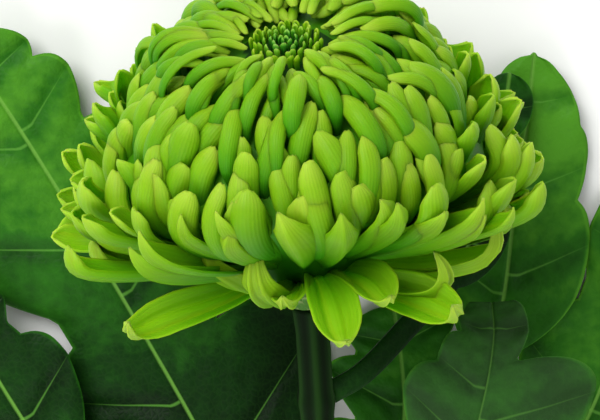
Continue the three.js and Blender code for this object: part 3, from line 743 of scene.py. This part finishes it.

# Where each leaf grows on the stem, its middle line, where on it the blade begins, its lobes on each side
# as (middle, reach, half length), of which the last is the web between the others, how far its sides are
# raised in degrees, and how light it is at its base and tip, which is partly the leaf's own tone and partly
# painted light: painted shade of the bloom darkens the left leaf's base, and the lower right leaf is
# lightened as a painted sheen. Petiole is that one's half width where it isn't the usual one. Faint makes a
# leaf's veins fainter. A painted sheen, the key after faint, makes the upper face rougher and mixes the
# underside's grey-green into it.
LEAVES = {
    "leaf_left": {
        "grows": 0.375, "blade": 0.2, "raised": 5, "light": (-0.1, 0.8),
        "line": [(-9, -92, 28), (-18.5, -80, 15.5), (-31.5, -57, 10.5), (-45, -33, 8.5), (-59, -8, 8.5),
                 (-72.5, 15, 9), (-84.5, 33, 8)],
        "left": [(0.42, 26, 0.12), (0.655, 37, 0.12), (0.81, 28, 0.11), (0.93, 14, 0.08), (0.57, 18, 0.27)],
        "right": [(0.32, 40, 0.145), (0.58, 24, 0.11), (0.71, 25, 0.07), (0.83, 19, 0.09), (0.93, 14, 0.08),
                  (0.57, 20, 0.3)],
    },
    "leaf_bottom_left": {
        "grows": 0.5, "blade": 0.36, "raised": 8, "light": (0.1, 0.15),
        "line": [(-13, -118, 21), (-31, -108, 14), (-51, -91, 13.5), (-67, -68, 15), (-80, -46, 14.5),
                 (-90, -29, 11)],
        "left": [(0.51, 15, 0.12), (0.71, 20, 0.12), (0.9, 13, 0.1), (0.67, 12, 0.28)],
        "right": [(0.5, 22, 0.14), (0.71, 19, 0.12), (0.9, 12, 0.1), (0.67, 13, 0.28)],
    },
    "leaf_upper_right": {
        "grows": 0.385, "blade": 0.49, "raised": 3, "light": (0.55, 0.95),
        "line": [(17, -89, 30), (30, -77, 21), (42, -58, 13), (50, -36, 8), (53, -12, 6.5), (56, 12, 6),
                 (57.5, 30, 5)],
        "left": [(0.6, 17, 0.12), (0.76, 16, 0.11), (0.9, 9, 0.095), (0.74, 10, 0.24)],
        "right": [(0.63, 20, 0.13), (0.76, 16.5, 0.12), (0.9, 8.5, 0.095), (0.75, 14, 0.24)],
    },
    "leaf_far_right": {
        "grows": 0.52, "blade": 0.32, "raised": 4, "light": (0.5, 0.7),
        "line": [(18, -122, 18), (37, -112, 10), (58, -92, 5), (74, -64, 3), (84, -32, 2.6), (92, 2, 2.4)],
        "left": [(0.47, 18, 0.12), (0.67, 24, 0.13), (0.88, 15, 0.12), (0.67, 14, 0.3)],
        "right": [(0.47, 15, 0.12), (0.67, 22, 0.13), (0.88, 13, 0.12), (0.67, 12, 0.3)],
    },
    "leaf_lower_right": {
        "grows": 0.44, "blade": 0.27, "raised": 6, "light": (0.5, 0.3), "faint": 0.3, "dull_with_painted_sheen": 0.5,
        "line": [(14.5, -104.5, 38.5), (25, -94, 42), (34, -77, 43), (40, -62, 44), (44, -46, 43),
                 (46, -34, 39), (46, -27, 32)],
        "left": [(0.4, 14, 0.1), (0.6, 20, 0.14), (0.72, 13, 0.15), (0.89, 8.5, 0.15), (0.54, 6, 0.27)],
        "right": [(0.42, 16, 0.1), (0.65, 26, 0.135), (0.89, 8.5, 0.15), (0.54, 8, 0.27)],
    },
    "leaf_lower_middle": {
        "grows": 0.47, "blade": 0.31, "raised": 3, "light": (0.4, 0.6),
        "line": [(11, -109, 20), (18, -96, 13), (24, -80, 9), (26, -63, 6.5), (25, -48, 5), (23, -35, 3.6)],
        "left": [(0.46, 22, 0.15), (0.69, 19, 0.13), (0.88, 14, 0.12), (0.65, 13, 0.32)],
        "right": [(0.47, 14, 0.14), (0.68, 19, 0.13), (0.88, 15, 0.12), (0.65, 12, 0.32)],
    },
    "leaf_back_right": {
        "grows": 0.14, "blade": 0.44, "raised": 2, "light": (0.15, 0.3), "petiole": 2.8,
        "line": [(15, -43, 37), (25, -35, 28), (38, -23, 17), (45, -6, 12.2), (49, 10, 11.8), (51, 26, 11)],
        "left": [(0.57, 7, 0.1), (0.74, 8, 0.1), (0.91, 6, 0.09), (0.72, 5, 0.25)],
        "right": [(0.57, 9, 0.1), (0.74, 10, 0.1), (0.91, 7, 0.09), (0.72, 5, 0.25)],
    },
}

# Stations along the petiole and the blade, how far beside each lateral vein two more are set, as a share
# of the way, and points on each side of the midrib, crowded towards it
PETIOLE_STATIONS, BLADE_STATIONS, BESIDE_VEIN = 16, 94, 0.006
LEAF_WIDE, LEAF_CROWDED = 21, 1.25

# A lateral vein's distance where none is near, how much farther off it counts at a lobe's tip, so that it
# fades out, and how much farther off every vein counts on the petiole
NO_VEIN, VEIN_FADES, OFF_BLADE = 9.0, 0.45, 9

# The fold along a lateral vein: its half width and its depth. The midrib's depth.
FOLD_WIDE, FOLD_DEEP = 2.6, 1.0
RIB_DEEP = 0.5

# The puckers between the veins and the wave of the edge: their heights, their turns in radians along a
# whole leaf, and the puckers' turn in radians by the millimetre across it
PUCKER_HIGH, PUCKER_TURNS, PUCKER_ACROSS = 0.18, 114, 0.55
WAVE_HIGH, WAVE_TURNS = 0.9, 45


def lobed(lobes, share):
    """The blade's half width: that of the widest lobe at each share of the way."""
    whole = np.zeros_like(share)
    for middle, reach, half in lobes:
        whole = np.maximum(whole, reach * np.sqrt(np.clip(1 - ((share - middle) / half) ** 2, 0, 1)))
    return whole


def leaf_line(facts):
    """The points of a leaf's middle line, from just inside the stem on the side where it grows."""
    grows = np.array([facts["grows"]])
    (stem_here,), (stem_way,) = stem_line(grows)
    out = np.array(facts["line"][0], float) - stem_here
    out = unit(out - (out @ stem_way) * stem_way)
    return [tuple(stem_here + out * (stem_radius(grows)[0] - SUNK_IN_STEM))] + facts["line"]


def leaf_stations(facts):
    """Shares of the way along a leaf, with three at each lateral vein, so that its fold has a bottom."""
    petiole = np.linspace(0, facts["blade"], PETIOLE_STATIONS, endpoint=False)
    blade = np.linspace(facts["blade"], 1, BLADE_STATIONS)
    veins = [lobe[0] for lobe in facts["left"][:-1] + facts["right"][:-1]]
    at_veins = [vein + step for vein in veins for step in (-BESIDE_VEIN, 0, BESIDE_VEIN)]
    return np.unique(np.concatenate([petiole, blade, at_veins]))


def from_vein(facts, share, sides, reach, length):
    """The distance to the nearest lateral vein. One runs out into each lobe."""
    nearest = np.full(reach.shape, NO_VEIN)
    for lobes, mask in ((facts["left"], sides < 0), (facts["right"], sides >= 0)):
        for middle, far, _ in lobes[:-1]:
            near = np.abs(share - middle) * length + VEIN_FADES * reach / far
            nearest = np.where(mask, np.minimum(nearest, near), nearest)
    return nearest


def leaf_relief(share, sides, reach, vein, blade):
    """How high a blade's skin stands: puckered and waved, and sunk along its midrib and its veins."""
    side = np.sign(sides)
    pucker = PUCKER_HIGH * np.sin(PUCKER_TURNS * share + 2 * side) * np.sin(PUCKER_ACROSS * reach)
    wave = WAVE_HIGH * np.sin(WAVE_TURNS * share + 1.3 * side) * smooth(np.abs(sides), 0.55, 1.0)
    fold = FOLD_DEEP * np.exp(-((vein / FOLD_WIDE) ** 2)) * smooth(reach, 0.5, 5)
    rib = RIB_DEEP * np.exp(-((reach / (0.75 - 0.45 * share)) ** 2))
    return (pucker + wave - fold - rib) * blade


def leaf(name, facts, material):
    """A leaf: its petiole and its lobed blade, thin at the edge. The material takes from it how far each
    point is from the midrib and from a lateral vein, how light it is, with painted shade in the folds along
    the lateral veins and a pale edge that is a painted highlight, and which face it is on."""
    share = leaf_stations(facts)
    here, forward = spline(leaf_line(facts), share)
    length = steps_between(here).sum()
    share = share[:, None]
    right = unit(np.cross(forward, [0, 0, 1]))
    up = np.cross(right, forward)
    blade = smooth(share, facts["blade"] - 0.04, facts["blade"] + 0.06)
    thick = PETIOLE_THICKNESS + (BLADE_THICKNESS - PETIOLE_THICKNESS) * blade
    stalk = facts.get("petiole", PETIOLE_HALF_WIDTH)
    strip = (stalk + (MIDDLE_STRIP - stalk) * blade) * (1 - 0.9 * smooth(share, 0.94, 1))
    left, rightward = (np.maximum(strip, lobed(facts[side], share)) for side in ("left", "right"))
    # How light the leaf is from base to tip: partly its own tone, partly painted shade and painted sheen
    dark, light = facts["light"]
    light = dark + (light - dark) * smooth(share, facts["blade"], 0.9)
    across = np.linspace(-1, 1, 2 * LEAF_WIDE + 1)
    across = (np.sign(across) * np.abs(across) ** LEAF_CROWDED)[None, :]
    faces = []
    for top, sides in ((1, across), (-1, across[:, ::-1])):
        reach = np.abs(sides) * np.where(sides < 0, left, rightward)
        vein = from_vein(facts, share, sides, reach, length)
        lift = blade * (reach * math.tan(math.radians(facts["raised"])) - LEAF_ARCH * reach**2)
        round_off = np.sqrt(np.clip(1 - 0.9 * sides**2, 0.1, 1))
        thin_edge = 1 - 0.75 * smooth(np.abs(sides), 0.85, 1.0)
        half_thick = 0.5 * thick * (blade * thin_edge + (1 - blade) * round_off)
        height = lift + leaf_relief(share, sides, reach, vein, blade) + top * half_thick
        shear = LOBE_SHEAR * np.maximum(0, reach - strip) * (1 - smooth(share, 0.8, 1))
        place = (here[:, None] + (np.sign(sides) * reach)[..., None] * right[:, None]
                 + shear[..., None] * forward[:, None] + height[..., None] * up[:, None])
        off_blade = OFF_BLADE * (1 - blade)
        # Painted shade and highlight: darker in the folds along the lateral veins, lighter between them, and
        # a pale painted highlight along the edge
        shade = light + (0.2 * smooth(vein, 0.5, 6) - 0.1 + 0.45 * blade * (np.abs(sides) > 0.99))
        # A painted sheen: on some leaves the upper face takes part of the underside's grey-green, and is a
        # little rougher
        upper = np.full(reach.shape, 1 - facts.get("dull_with_painted_sheen", 0) if top > 0 else 0.0)
        faces.append((place, reach + off_blade + facts.get("faint", 0), vein + off_blade, shade, upper))
    rings, from_rib, from_veins, shade, upper = (np.hstack(both) for both in zip(*faces))
    skin = Skin()
    skin.loft(rings, np.stack([from_rib, from_veins], axis=-1), np.stack([shade, upper], axis=-1))
    skin.piece(name + "_blade", material, [name], "leaf_green")


def leaves():
    """The seven leaves, of one material."""
    material = leaf_tissue()
    for name, facts in LEAVES.items():
        leaf(name, facts, material)


# Floor, lights and camera, in metres

FLOOR_HALF = 3
LIT = Vector((0, 0.1, 0.03))                    # the point that the lamps face
LAMPS = [
    ("key_lamp", (-0.45, 0.75, 1.0), 13.6, 0.7),
    ("fill_lamp", (0.8, 0.1, 0.9), 1.6, 0.8),
    ("low_lamp", (-0.3, -0.7, 0.8), 5, 0.8),
]
SKY_STRENGTH = 0.44


def pale_floor():
    """A plain pale floor, matt and nearly white."""
    mesh = bpy.data.meshes.new("pale_floor")
    corners = [(x * FLOOR_HALF, y * FLOOR_HALF, 0) for x, y in ((-1, -1), (1, -1), (1, 1), (-1, 1))]
    mesh.from_pydata(corners, [], [(0, 1, 2, 3)])
    floor = bpy.data.objects.new("pale_floor", mesh)
    bpy.context.scene.collection.objects.link(floor)
    material = bpy.data.materials.new("pale_floor")
    material.use_nodes = True
    shader = material.node_tree.nodes["Principled BSDF"]
    shader.inputs["Roughness"].default_value = 0.9
    shader.inputs["Base Color"].default_value = linear("#fafaf8")
    mesh.materials.append(material)


def studio():
    """Soft lamps, the strongest above and to the left, and a pale sky."""
    world = bpy.data.worlds.new("studio")
    bpy.context.scene.world = world
    world.use_nodes = True
    sky = world.node_tree.nodes["Background"]
    sky.inputs["Color"].default_value = (1, 1, 1, 1)
    sky.inputs["Strength"].default_value = SKY_STRENGTH
    for name, place, power, size in LAMPS:
        lamp = bpy.data.lights.new(name, "AREA")
        lamp.energy, lamp.size = power, size
        lamp_object = bpy.data.objects.new(name, lamp)
        lamp_object.location = place
        lamp_object.rotation_euler = (LIT - Vector(place)).to_track_quat("-Z", "Y").to_euler()
        bpy.context.scene.collection.objects.link(lamp_object)
    bpy.context.scene.view_settings.view_transform = "Standard"      # the materials' colours as they are


LOOKED_AT = Vector((-0.0007, 0.10113, 0.0537))
OFF_VERTICAL_DEG, CAMERA_AWAY = 13, 0.6
LENS, SENSOR_WIDTH = 154.8, 36.0                # in millimetres, as cameras have it


def camera():
    """The photograph's view: from above, a little off the vertical towards the bloom's face."""
    tilt = math.radians(OFF_VERTICAL_DEG)
    away = Vector((0, math.sin(tilt), math.cos(tilt)))
    up = Vector((0, math.cos(tilt), -math.sin(tilt)))
    data = bpy.data.cameras.new("photo_view")
    data.lens, data.sensor_width = LENS, SENSOR_WIDTH
    view = bpy.data.objects.new("photo_view", data)
    rows = Matrix((Vector((1, 0, 0)), up, away)).transposed().to_4x4()
    rows.translation = LOOKED_AT + CAMERA_AWAY * away
    view.matrix_world = rows
    bpy.context.scene.collection.objects.link(view)
    bpy.context.scene.camera = view


camera()
pale_floor()
studio()
bloom()
calyx()
stem()
leaves()
